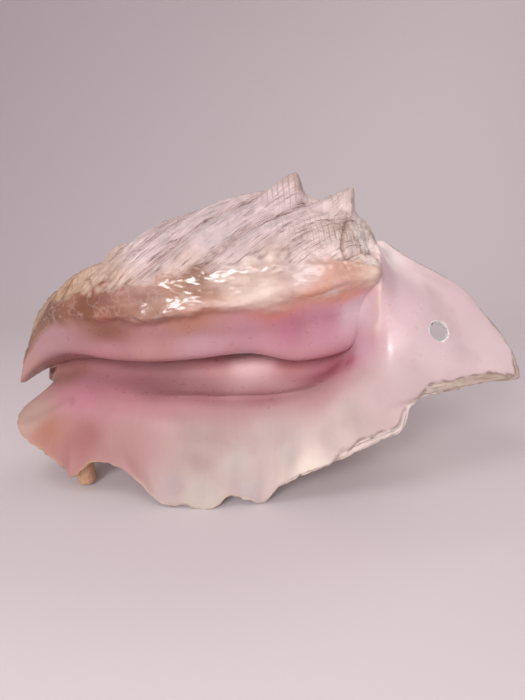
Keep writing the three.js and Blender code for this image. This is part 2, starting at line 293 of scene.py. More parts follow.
def foldsAt(growth, turn):  # folds with rounded crests and sharp valleys, uneven in size
    uneven = 0.6 + 0.4 * np.sin(growth * 1.9 / turn + 1.0)
    return uneven * (np.abs(np.sin(math.pi * growth / turn)) ** 0.7 - 0.55)


def pathDistance(points, path):  # mm from each point to a path of (x, z) places, seen from the front
    flat = points[..., [0, 2]]
    nearest = np.full(flat.shape[:-1], 1e9)
    for start, end in zip(path, path[1:]):
        start, run = np.array(start, float), np.subtract(end, start)
        t = np.clip(((flat - start) @ run) / (run @ run), 0, 1)
        nearest = np.minimum(nearest, np.linalg.norm(flat - start - t[..., None] * run, axis=-1))
    return nearest


def paintTint(points, anchors):  # blends the anchor colours by closeness
    total = np.zeros(points.shape[:2])
    colour = np.zeros(points.shape)
    for place, reach, hexColour in anchors:
        away = distances(points, place) / reach
        weight = 1 / (0.02 + away ** 3.2)
        colour += weight[..., None] * np.array(linear(hexColour)[:3])
        total += weight
    return colour / total[..., None]


# colours of the three finishes, each at a place on the shell in mm, with its reach
porcelainTints = [
    # columella and the band under the glaze
    ((-105, -21, 46), 1.0, "#A67E78"), ((-90, -24, 58), 1.0, "#A47C7E"), ((-66, -25, 56), 1.0, "#AE7C80"),
    ((-48, -26, 58), 1.0, "#B48482"), ((-26, -26, 60), 1.0, "#BE949A"), ((-5, -27, 63), 1.0, "#BE8C96"),
    ((12, -30, 67), 1.0, "#B87688"), ((28, -28, 69), 1.1, "#C2889A"), ((38, -25, 74), 1.0, "#D6BCC2"),
    ((-66, -30, 68), 1.0, "#885A4C"), ((-30, -34, 73), 1.0, "#B27E6C"), ((5, -36, 77), 1.0, "#C47C72"),
    ((34, -35, 85), 1.0, "#D48C76"),
    # inside the mouth
    ((-80, -23, 35), 1.0, "#B87E88"), ((-62, -18, 38), 1.0, "#C48A92"), ((-45, -22, 36), 1.0, "#B88488"),
    ((-92, -8, 42), 0.8, "#9E6C66"), ((-25, -22, 35), 1.0, "#B48284"), ((0, -24, 34), 1.0, "#B08080"),
    ((-26, 3, 43), 1.1, "#DAAAAA"), ((-4, 4, 45), 1.3, "#F8DCDC"), ((14, 2, 43), 1.0, "#D69C9E"),
    ((30, -14, 46), 1.0, "#C27886"), ((38, -20, 52), 0.5, "#B46C7C"), ((44, -22, 56), 0.8, "#C8A2AC"),
    ((45, -27, 62), 0.2, "#D08468"), ((42, -23, 54), 0.2, "#CC8A7C"),
    # lip, from the lobe by the notch to the wing
    ((25, -34, 40), 1.0, "#B48E8E"), ((46, -38, 46), 1.0, "#B89E9C"), ((-99, -36, 31), 1.0, "#AC8C80"),
    ((-90, -40, 27), 0.75, "#A66E5C"), ((-76, -42, 24), 0.8, "#9A6260"), ((-55, -46, 22), 1.0, "#A67C78"),
    ((-25, -48, 22), 1.0, "#A0847E"), ((-10, -53, 15), 0.8, "#B4A49C"), ((10, -50, 20), 0.8, "#B6A69E"),
    ((32, -48, 25), 0.8, "#C2B2A8"), ((5, -47, 26), 1.0, "#AE9894"), ((35, -44, 34), 1.0, "#B8A49E"),
    # the grey-lilac spots at (-34, -55, 8) and (-6, -54, 7) are painted shade where the rim curls down
    ((-25, -57, 4), 1.0, "#B6A89C"), ((-34, -55, 8), 0.45, "#A69292"), ((-6, -54, 7), 0.45, "#B2A2A0"),
    ((20, -53, 14), 1.0, "#D8CABC"), ((60, -38, 45), 1.2, "#BCA4A2"), ((75, -32, 60), 1.6, "#CEB6B6"),
    ((100, -20, 55), 1.4, "#DAC2C0"), ((85, -8, 80), 1.4, "#DCC0C0"), ((66, -8, 88), 0.8, "#EACECE"),
    ((58, -28, 78), 1.2, "#D2B6B8"), ((56, -6, 96), 1.0, "#F2E0DA")
]
glazeTints = [
    ((-92, -24, 69), 1.0, "#84604F"), ((-71, -32, 76), 1.0, "#946450"), ((-43, -36, 80), 1.0, "#A07A6A"),
    ((-26, -38, 86), 1.0, "#A07C68"), ((-5, -40, 90), 1.1, "#E6D2C4"), ((15, -40, 92), 1.0, "#CAB4AC"),
    ((31, -38, 91), 1.0, "#D6AA98"), ((43, -35, 95), 1.0, "#E6CCB8"), ((-26, -36, 75), 1.0, "#C0866C"),
    ((22, -37, 82), 1.0, "#D49A80"), ((-67, -31, 71), 1.0, "#A06652")
]
chalkTints = [
    ((-60, -30, 86), 0.6, "#CBAE9C"), ((-30, -37, 96), 0.5, "#CBB2A8"), ((5, -38, 99), 0.5, "#C8B0A6"),
    ((-48, -20, 99), 1.0, "#DCC6C4"), ((-18, -25, 106), 1.0, "#CAB7B5"), ((7, -20, 112), 1.0, "#DEC8C6"),
    ((25, -30, 102), 1.0, "#E6CEC8"), ((33, -28, 108), 0.8, "#DCC6B8"), ((44, -24, 103), 0.8, "#E4D6CC"),
    ((-81, -20, 82), 1.0, "#BE9C80"), ((-70, -22, 90), 0.8, "#CDB09E"), ((-94, -18, 75), 1.0, "#AA8A74"),
    ((39, -8, 122), 0.3, "#C6B2A8"), ((15, -3, 131), 0.4, "#BCA296"),
    ((0, 55, 60), 1.4, "#DCCABC"), ((-60, 30, 60), 1.2, "#CDB49E"), ((0, 40, 20), 1.2, "#D8C4B4"),
    ((50, 35, 70), 1.2, "#D8C8B8"), ((70, 10, 84), 1.2, "#DCCBB8"), ((96, 6, 60), 1.2, "#C4A88C"),
    ((0, -20, 20), 1.2, "#DCC8BC"), ((60, -40, 37), 0.8, "#D8C8C0"), ((100, -24, 44), 0.8, "#CAB2A2"),
    ((80, -36, 43), 0.6, "#D6C0B0"), ((-76, -40, 6), 0.7, "#BC9270"), ((-25, -57, 2), 0.6, "#C8B6A8"),
    ((75, -27, 65), 0.6, "#D2BEB4"),
    ((90, -10, 60), 1.2, "#D8C8BA")
]


def makeBody():
    sections = np.array(bodySections, float)
    keyCount = sections.shape[1]
    at = spread(body["spans"])
    along = np.linspace(0, len(sections) - 1, body["rows"])
    points = closedLoop(catmull(sections, along), at)
    key = np.where(at > keyCount - 1.5, at - keyCount, at)[None, :] + np.zeros((len(along), 1))
    points = raiseSpines(points)
    normal = gridNormals(points)
    if np.mean(np.sum(normal * (points - points.mean(axis=1, keepdims=True)), axis=2)) < 0:
        normal = -normal
    growth, reach = growthOf(points)
    x = points[..., 0]

    # the three finishes
    wander = sum(lumps(points, size, seed) * share for size, seed, share in body["edgeWander"])
    overGlaze = key - np.interp(x, body["glazeStations"], body["glazeTops"]) + wander
    outside = step(*body["outsideFrom"], overGlaze) * step(*body["outsideTo"], key)
    glaze = step(*body["glazeFrom"], key + wander * 0.7) * (1 - outside) * step(*body["glazeTo"], key)
    porcelain = 1 - np.clip(outside + glaze, 0, 1)
    bare = outside * step(*body["bareFrom"], key) * step(*body["bareTo"], key)

    # growth folds and spiral cords of the chalky outside
    wavy = growth + lumps(points * alongShell, 14, 11) * body["foldWander"] + body["foldStart"]
    folds, pleats, creases = (foldsAt(wavy, body[turn]) for turn in ("foldTurn", "pleatTurn", "creaseTurn"))
    tips = sum(hill(distances(points, tip), 0, body["tipReach"]) for foot, tip, radius in spines[1:6])
    ends = step(*body["foldsFromEnd"], x) * step(*body["foldsToSpire"], x)
    ends = ends * (1 - body["tipCalm"] * np.clip(tips, 0, 1))
    lift = folds * body["foldHeight"] * (1 - body["narrowCalm"] * step(*body["narrowEnd"], x))
    lift = (lift + pleats * body["pleatHeight"] + creases * body["creaseHeight"]) * bare * ends
    cords = sum(hill(x, place, width) for place, width in body["cordPlaces"])
    cords = bare * np.clip(cords + lumps(points, 16, 12) * 0.5, 0, 1)
    bands = np.sin(2 * math.pi * reach / body["cordSpacing"])
    lift += body["cordHeight"] * bands * (0.25 * bare + cords)
    lift += lumps(points, 1.6, 3) * 0.12 * outside + lumps(points, 5, 13) * 0.35 * bare

    # glaze swellings and ripples, gentle porcelain waves, cracks and the hollow behind a spine
    ripple = lumps(points * farAlongShell, 9, 4) + 0.3 * lumps(points * alongShell, 3.5, 17)
    swell = sum(height * hill(key, atKey, keyWidth) * hill(x, place, width)
                for height, atKey, keyWidth, place, width in body["swellings"])
    lift += glaze * (body["glazeHeight"] + ripple * body["glazeRipple"] + swell)
    lift += porcelain * lumps(points * farAlongShell, 12, 14) * 0.35
    cracks = sum(hill(pathDistance(points, path), 0, width) * depth for path, width, depth in body["cracks"])
    cracks = cracks * (points[..., 1] < 0)
    lift += cracks * body["crackLift"]
    atKey, keyWidth, place, width, height = body["spineHollow"]
    lift += hill(key, atKey, keyWidth) * hill(x, place, width) * height
    points = points + normal * lift[..., None]

    film = hill(overGlaze, 0.07, 0.06) * step(8, 7, key)
    # valley share: painted shade in the fold valleys and cracks, and a darker film along the glaze's edge
    valley = np.clip(0.4 - folds * 0.8 - pleats * 0.45 + cracks + 0.4 * film, 0, 1) * outside
    fourth = np.clip(cords * outside + glaze * step(*body["milkFrom"], x), 0, 1)
    masks = np.stack([porcelain, glaze, valley, fourth], axis=2)
    tints = (porcelain[..., None] * paintTint(points, porcelainTints)
             + glaze[..., None] * paintTint(points, glazeTints)
             + outside[..., None] * paintTint(points, chalkTints)) / (porcelain + glaze + outside)[..., None]
    uv = np.stack([growth / 100, reach / 100], axis=2)
    uv = np.concatenate([uv, uv[:, :1]], axis=1)
    tints = np.concatenate([tints, 0 * key[..., None]], axis=2)
    return skinMesh("bodyWhorl", points, uv, masks, tints)


# free edge of the lip: station, then its point in mm
rimRows = [
    [0.5, -99.7, -10, 38.7], [1, -97.4, -8, 36.1], [1.2, -98.8, -10, 32.7], [1.4, -100.8, -14, 30.7],
    [1.6, -104.9, -20, 28.9], [1.8, -106.3, -26, 29.7], [2, -104.6, -36, 28], [2.2, -99.9, -42, 23.3],
    [2.45, -90.8, -46, 19.3], [2.7, -82.4, -48, 13.1], [2.85, -78.8, -48, 8.5], [3, -74.5, -48, 11.5],
    [3.15, -71.5, -48, 15], [3.3, -66, -50, 15.9], [3.5, -61.6, -51, 15.5], [3.8, -53, -54, 12.6],
    [4.1, -47.2, -56, 8], [4.3, -42, -57, 2.8], [4.6, -36.8, -58, 0.7], [4.8, -31.2, -58, 1.2],
    [5.2, -23.2, -59, -0.6], [5.45, -17.3, -58, 2.1], [5.65, -13.3, -57, 5], [6, -5.4, -56, 2.7],
    [6.3, 0.6, -55, 0.2], [6.55, 6.6, -55, 7.4], [6.85, 12.6, -54, 10.4], [7.3, 23, -53, 14.7],
    [7.8, 33.8, -52, 19.5], [8.4, 47.2, -50, 25.1], [8.8, 56.7, -48, 29.4], [9, 59.5, -46, 37.2],
    [9.3, 65.7, -43, 42.1], [9.8, 78.3, -38, 43], [10.5, 98.6, -30, 44], [11, 113, -24, 43.5],
    [11.4, 112.8, -20, 51.1], [12, 110.2, -14, 58.8], [12.6, 103, -8, 68.7], [13.2, 93.8, -3, 79.6],
    [14, 80.3, 2, 88.3], [15, 65.9, 6, 95.9], [16, 57, 8, 101.8], [17, 49, 10, 101]
]

# station, then points in from the edge along the mouth, and back out along the outside
lipSections = [
    [0.5, [-99.5, -11, 41.5], [-99, -11, 45], [-98, -10, 49], [-96, -6, 52],
      [-93, -1, 50], [-92.5, -1, 46], [-93, -2, 42], [-94.5, -4, 39], [-97, -7, 37.5]],
    [1, [-97.2, -8.5, 39], [-97, -8, 42], [-96, -6, 46], [-94, -2, 50],
      [-89.5, 3, 48], [-89, 2.5, 42], [-90, 1, 37.5], [-92, -2, 35], [-95, -6, 34]],
    [2, [-97, -27, 34.5], [-90, -17, 39], [-84.5, -7, 43], [-82, 2, 47],
      [-79, 10, 40], [-80, 5, 34], [-83, -3, 32], [-89, -14, 32], [-97, -25, 29.5]],
    [3, [-76, -39, 24.5], [-78, -27, 33], [-76, -8, 41.5], [-70, 6, 46],
      [-64, 22, 36], [-66, 14, 26], [-70, 0, 25], [-74, -20, 24], [-73, -36, 19]],
    [4, [-53, -46, 22], [-53, -31, 34], [-54, -3, 38.5], [-48, 17, 45],
      [-42, 38, 34], [-44, 26, 17], [-50, 2, 18], [-52, -22, 23], [-52, -42, 15.5]],
    [5, [-26, -50, 18], [-26.7, -34, 33.6], [-30, 0, 37.5], [-26, 24, 45],
      [-22, 47, 32], [-24, 30, 10], [-28, 4, 13], [-27, -24, 22.5], [-26, -45, 13]],
    [6, [-5, -49, 19.5], [-5.3, -35, 33], [-6, 2, 37.5], [-5, 28, 45],
      [-1, 52, 32], [-3, 34, 8], [-6, 6, 11], [-5, -24, 21.5], [-5, -44, 13.5]],
    [7, [15.5, -47.5, 25], [16, -34, 36.5], [18.6, -1, 40], [17, 24, 46],
      [21, 54, 32], [19, 36, 8], [18, 4, 13], [16, -24, 23], [15.5, -43, 18.5]],
    [8, [35, -45, 32], [34.5, -35, 43], [37, -13, 50], [37, 4, 54],
      [44, 50, 34], [42, 32, 12], [38, 0, 20], [36, -24, 30], [36, -41, 26.5]],
    [9, [50.5, -43, 37.5], [47, -36, 48], [43.5, -20, 58], [40, -8, 62],
      [54, 34, 36], [54, 20, 24], [52, -2, 26], [51, -24, 33], [54, -38, 33.5]],
    [10, [66, -39, 45], [54, -35, 54], [46, -24, 66], [38, -12, 66],
      [58, 16, 48], [58, 8, 40], [58, -4, 38], [60, -22, 42], [70, -33, 42]],
    [11, [82, -32.5, 53], [58, -32, 63], [47, -27, 73], [39, -14, 73],
      [60, 8, 56], [60, 0, 52], [60, -10, 50], [66, -22, 52], [86, -28, 49]],
    [12, [83, -26, 62.5], [58, -30, 72], [46.5, -29, 79.5], [39, -16, 79],
      [60, 4, 70], [60, -4, 66], [61, -12, 64], [68, -22, 63], [88, -22, 59]],
    [13, [77, -18.5, 77], [58, -27, 81], [46, -31, 86], [39, -18, 85],
      [59, 0, 80], [60, -8, 77], [61, -16, 75], [67, -18, 73.5], [80, -14, 73]],
    [14, [69, -10, 86.5], [57, -21, 88.5], [46.5, -29, 92], [40, -16, 90],
      [58, -2, 87], [59, -8, 85], [60, -13, 84], [65, -10, 83], [73, -4, 83.5]],
    [15, [60.5, -2, 93.5], [54.5, -13, 95], [47.5, -22, 98.5], [42, -11, 96],
      [56, 0, 93], [57, -4, 91.5], [59, -6, 90.5], [62, -2, 90.5], [65, 3, 92]],
    [16, [55, 1, 99.5], [52, -6, 100.5], [48, -12, 102], [43, -5, 98],
      [55, 0, 96], [56, 1, 96], [57, 2, 96], [58, 4, 97], [58, 7, 99]],
    [17, [48, 5, 98], [47, 0, 98], [46, -4, 99], [46, 0, 96],
      [48, 2, 95], [49, 3, 95], [50, 4, 95], [51, 6, 96], [51, 9, 98]]
]
lip = {
    "rows": 340, "spans": (22, 22, 36, 26, 10, 12, 12, 14, 14, 8, 5), "thickness": 2.6,
    # chips along the free edge: depth in mm, then the size and share of each noise
    "ragged": 0.7, "chipSizes": (3.1, 1.1), "chipShares": (1, 0.5), "chipBias": 0.3,
    # flutes run in from the edge between these stations: height, spacing and length in mm
    "flute": 1.1, "fluteSpacing": 9, "fluteLength": 22, "fluteReach": (26, 3),
    "flutesFrom": (3.0, 4.0), "flutesTo": (9.2, 7.8),
    # worn layers along the edge: width in mm at each station
    "layerStations": (0, 2.2, 7.5, 7.8, 8.3, 8.8, 9.15, 9.5, 10.4, 11, 11.6, 13, 17),
    "layerWidths": (0.3, 0.4, 0.7, 2.8, 3.4, 2.4, 1.4, 3.6, 3.8, 2.4, 1.2, 0.7, 0.4),
    "layerWander": 0.28, "seam": "#7A6254", "seamHeight": -0.35,
    # cream rib where the lip joins the body
    "callus": "#EEDCC8", "callusKey": (2.8, 0.09), "callusFrom": (9.8, 10.6), "callusTo": (15.6, 14.6),
    "callusHeight": 0.35,
    "lobeRidge": ((-104, 26.5), (-96, 28), (-85, 33)), "lobeRidgeWidth": 1.6, "lobeRidgeHeight": 0.9,
    # rise and furrows inside the mouth: centre, size, height in mm
    "mounds": (
        ((-8, 4, 39), (32, 12, 12), 6.5),
        ((-6, -18, 35), (34, 5, 8), -1.6),
        ((-4, -25, 35), (26, 1.6, 5), 1.1),
        ((26, -10, 46), (10, 6, 6), -1.5)
    )
}


def lipEdge(along, others):  # chipped free edge, and the back edge behind it
    stations = np.array([row[0] for row in rimRows], float)
    rim = catmull(np.array([row[1:] for row in rimRows], float), rowNumbers(stations, along))
    run = np.cumsum(np.concatenate([[0], np.linalg.norm(np.diff(rim, axis=0), axis=1)]))
    inward = others[:, 0] - rim
    inward /= np.linalg.norm(inward, axis=1, keepdims=True)
    (coarse, fine), (most, least) = lip["chipSizes"], lip["chipShares"]
    chips = np.array([most * noise.noise(Vector((r / coarse, 4.2, 0)))
                      + least * noise.noise(Vector((r / fine, 9.7, 0))) for r in run])
    rim = rim + inward * (lip["ragged"] * (chips + lip["chipBias"]))[:, None]
    across = others[:, -1] - others[:, 0]
    across /= np.linalg.norm(across, axis=1, keepdims=True)
    back = rim * 0.85 + others[:, -1] * 0.15 + across * lip["thickness"] * 0.5
    return rim, back, run


def makeLip():
    stations = np.array([row[0] for row in lipSections], float)
    sections = np.array([row[1:] for row in lipSections], float)
    along = np.linspace(stations[0], stations[-1], lip["rows"])
    others = catmull(sections, rowNumbers(stations, along))
    rim, back, run = lipEdge(along, others)
    keys = np.concatenate([rim[:, None], others, back[:, None]], axis=1)
    at = spread(lip["spans"])
    points = closedLoop(keys, at)
    points = raiseSpines(points)
    normal = gridNormals(points)
    if np.sum(normal[len(normal) // 2, 20] * np.array([0, -0.7, 0.7])) < 0:
        normal = -normal
    key = at[None, :] + np.zeros((len(along), 1))
    station = along[:, None] + np.zeros((1, len(at)))
    inside = step(0.0, 0.12, key) * step(4.6, 4.3, key)
    outside = 1 - inside
    away = np.linalg.norm(points - rim[:, None], axis=2)
    growth, reach = growthOf(points)

    # worn layers: a band along the nearest part of the free edge
    nearest = np.array([np.argmin(np.linalg.norm(row[:, None] - rim, axis=2), axis=1) for row in points])
    toRim = np.linalg.norm(points - rim[nearest], axis=2)
    layer = np.interp(along, lip["layerStations"], lip["layerWidths"])
    width = layer[nearest] * (1 + lip["layerWander"] * lumps(points, 5, 5))
    edge = step(0.4, -0.4, toRim - width) * (key < 6)
    porcelain = inside * (1 - edge)

    # flutes, the rise and furrows of the mouth, the lobe's ridge, seam and callus
    alongEdge = run[:, None] + 0 * away
    strands = np.stack([alongEdge / lip["fluteSpacing"], away / lip["fluteLength"], 0 * away], axis=2)
    flutes = lumps(strands, 1, 15) * step(*lip["fluteReach"], away) * inside
    flutes = flutes * step(*lip["flutesFrom"], station) * step(*lip["flutesTo"], station)
    lift = flutes * lip["flute"]
    for centre, size, height in lip["mounds"]:
        lift += inside * mound(points, centre, size, height)
    lift += outside * (lumps(points, 7, 6) * 0.5 + lumps(points, 1.8, 7) * 0.18)
    ridge = hill(pathDistance(points, lip["lobeRidge"]), 0, lip["lobeRidgeWidth"]) * step(3, 2.6, station)
    lift += inside * lip["lobeRidgeHeight"] * ridge
    seam = inside * hill(toRim - width, 0.1, 0.45) * step(1.0, 2.0, width)
    seam = seam * step(-0.9, 0.1, lumps(points, 3, 18))
    callus = hill(key + 0.06 * lumps(points, 9, 19), *lip["callusKey"])
    callus = callus * step(*lip["callusFrom"], station) * step(*lip["callusTo"], station)
    lift += callus * lip["callusHeight"] + seam * lip["seamHeight"]
    lift += edge * inside * (lumps(points, 1.5, 8) * 0.35 - 0.45)
    lift += porcelain * lumps(points, 16, 16) * 0.5
    points = points + normal * lift[..., None]

    masks = np.stack([porcelain, 0 * porcelain, 0.25 * outside + 0.3 * edge, 0.3 * outside], axis=2)
    tints = (porcelain[..., None] * paintTint(points, porcelainTints)
             + (1 - porcelain)[..., None] * paintTint(points, chalkTints))
    tints += 0.35 * callus[..., None] * (np.array(linear(lip["callus"])[:3]) - tints)
    tints += 0.85 * seam[..., None] * (np.array(linear(lip["seam"])[:3]) - tints)
    uv = np.stack([away / 100, alongEdge / 100], axis=2)
    uv = np.where(outside[..., None] > 0.5, np.stack([growth / 100, reach / 100], axis=2), uv)
    uv = np.concatenate([uv, uv[:, :1]], axis=1)
    tints = np.concatenate([tints, (step(38, 8, away) * inside)[..., None]], axis=2)
    piece = skinMesh("outerLip", points, uv, masks, tints)
    drillHole(piece)
    return piece


hole = {
    "centre": (75.1, -27, 65.7), "diameter": 9.0, "along": (-0.02, 0.94, -0.33), "rodLength": 30, "sides": 64,
    "wall": "#D6C2B8", "wallZone": (0, 0, 0.15, 0)
}


def drillHole(piece):  # hanging hole, cut through the lip with a drill-sized rod
    radius = hole["diameter"] / 2 / mmPerMetre
    bm = bmesh.new()
    bmesh.ops.create_cone(bm, cap_ends=True, segments=hole["sides"], radius1=radius, radius2=radius,
                          depth=hole["rodLength"] / mmPerMetre)
    turn = Vector(hole["along"]).to_track_quat("Z", "Y").to_matrix()
    bmesh.ops.rotate(bm, verts=bm.verts, cent=(0, 0, 0), matrix=turn)
    bmesh.ops.translate(bm, verts=bm.verts, vec=inFrame(hole["centre"]))
    paintPlain(bm, hole["wallZone"], hole["wall"])
    bm.loops.layers.uv.new("growth")
    rod = addObject("drillRod", bm, smooth=False)
    cut = piece.modifiers.new("hangingHole", "BOOLEAN")
    cut.operation = "DIFFERENCE"
    cut.solver = "EXACT"
    cut.object = rod
    graph = bpy.context.evaluated_depsgraph_get()
    finished = bpy.data.meshes.new_from_object(piece.evaluated_get(graph))
    piece.modifiers.clear()
    piece.data = finished
    bpy.data.objects.remove(rod)


spire = {
    "rows": 120, "sides": 200, "rowCrowding": 1.1, "apex": (92, 20, 66), "foot": (50, 13, 59), "radius": 34,
    # share of the height left blunt at the top, how the cone swells, each whorl's size to the next, and a
    # count that keeps the whorls' numbers above 0
    "blunt": 0.012, "swelling": 0.92, "whorlGrowth": 1.55, "firstWhorl": 20,
    # width of a whorl from the seam above it, over its shoulder, to the seam below
    "profileAt": (0, 0.78, 1), "profile": (0.84, 1.04, 0.84), "seams": ((0.98, 0.08), (0.0, 0.06)),
    "knobs": 8, "knobHeight": 0.12, "knobPlace": (0.74, 0.16), "wear": 0.25
}


def makeSpire():
    apex, foot = np.array(spire["apex"], float), np.array(spire["foot"], float)
    height = apex[0] - foot[0]
    share = np.linspace(0, 1, spire["rows"])[:, None] ** spire["rowCrowding"]
    down = height * (spire["blunt"] + (1 - spire["blunt"]) * share)
    angle = np.linspace(0, 2 * math.pi, spire["sides"], endpoint=False)[None, :]
    whorl = np.log(down / height) / math.log(spire["whorlGrowth"]) - angle / (2 * math.pi)
    whorl = whorl + spire["firstWhorl"]
    part = whorl - np.floor(whorl)
    turn = angle + 2 * math.pi * np.floor(whorl)
    knob = np.maximum(0, np.cos(spire["knobs"] * turn)) ** 2 * hill(part, *spire["knobPlace"])
    width = np.interp(part, spire["profileAt"], spire["profile"]) + spire["knobHeight"] * knob
    radius = spire["radius"] * (down / height) ** spire["swelling"] * width
    axis = apex + (foot - apex) * (down / height)[..., None]
    points = axis + np.stack([np.zeros_like(radius), -radius * np.cos(angle), radius * np.sin(angle)], axis=2)
    wear = lumps(points, 2.2, 9) * spire["wear"]
    points = points + np.stack([0 * wear, wear, wear], axis=2)
    seams = sum(hill(part, place, size) for place, size in spire["seams"])
    # the seams' valley share darkens them: painted shade in the grooves between the whorls
    masks = np.stack([0 * part, 0 * part, seams, 0.5 + 0 * part], axis=2)
    tints = np.concatenate([paintTint(points, chalkTints), 0 * part[..., None]], axis=2)
    uv = np.stack([np.degrees(turn) / 100, points[..., 0] / 100], axis=2)
    uv = np.concatenate([uv, uv[:, :1]], axis=1)
    return skinMesh("spire", points, uv, masks, tints)


nub = {
    "centre": (-76, -39.5, 9), "radius": 4.0, "length": 10.6, "lean": 0.3, "wear": 0.35, "wearSize": 2.5,
    "colour": "#C49A78", "zone": (0, 0, 0.3, 0.4)
}


def makeNub():  # rounded end of the outside ridge, beside the stromboid notch
    bm = bmesh.new()
    bmesh.ops.create_uvsphere(bm, u_segments=48, v_segments=32, radius=nub["radius"])
    for vert in bm.verts:
        vert.co.z += math.copysign(nub["length"] / 2, vert.co.z) if abs(vert.co.z) > 1e-6 else 0
        vert.co += vert.normal * nub["wear"] * noise.noise(vert.co / nub["wearSize"])
    bmesh.ops.rotate(bm, verts=bm.verts, cent=(0, 0, 0), matrix=Matrix.Rotation(nub["lean"], 3, "X"))
    for vert in bm.verts:
        vert.co = inFrame(vert.co + Vector(nub["centre"]))
    paintPlain(bm, nub["zone"], nub["colour"])
    uvLayer = bm.loops.layers.uv.new("growth")
    for face in bm.faces:
        for loop in face.loops:
            loop[uvLayer].uv = (loop.vert.co.x * 10, loop.vert.co.z * 10)
    return addObject("canalNub", bm)


shellLook = {
    # valley is the colour of the painted shade in fold valleys, cracks and seams; it also darkens the glaze's
    # edge film and the lip's outer edge
    "line": "#4E2E1A", "valley": "#B4927C", "glazeDeep": "#8A6048", "milk": "#F2E6E2", "speck": "#8C6A60",
    # noise scales: growth lines and streaks across and along the growth, the others per metre
    "coarseScale": (60, 2.6, 1), "closeScale": (130, 5, 1), "streakScale": (5, 70, 1),
    "patchScale": 38.0, "wearScale": 120.0, "mottleScale": 260.0, "grainScale": 900.0, "veinScale": 110.0,
    "cloudScale": (45, 80, 80), "skinScale": (28, 90, 90), "rippleScale": (90, 170, 170),
    "stainScale": 55.0, "poreScale": 130.0, "cordScale": 13.65,
    # thread widths as shares of the noise, and how dark each kind of line is
    "coarseWidth": 0.021, "closeWidth": 0.034, "veinWidth": 0.03,
    # the valley darkness below is painted shade in fold valleys, cracks and seams, and darker edges
    "lineDark": 0.95, "closeDark": 0.8, "cordDark": 0.75, "mottleDark": 0.16, "valleyShadeAndEdgeDark": 0.55,
    "poolDark": 0.5, "skinMilk": 0.5, "streakMilk": 0.02, "stainDark": 0.16, "poreDark": 0.22,
    # roughness of chalk and of polish, then what glaze, mottling and the worn lip add
    "chalkRough": 0.74, "polishRough": 0.3, "glazeRough": -0.11, "mottleRough": (-0.04, 0.05),
    "matteRough": 0.42,
    # relief in m, then light let into the shell
    "grainDepth": 0.00035, "cutDepth": 0.0005, "rippleDepth": 0.0016,
    "bending": 1.53, "letIn": 0.15, "letInDepth": 0.004, "letInColours": (1.0, 0.55, 0.45)
}


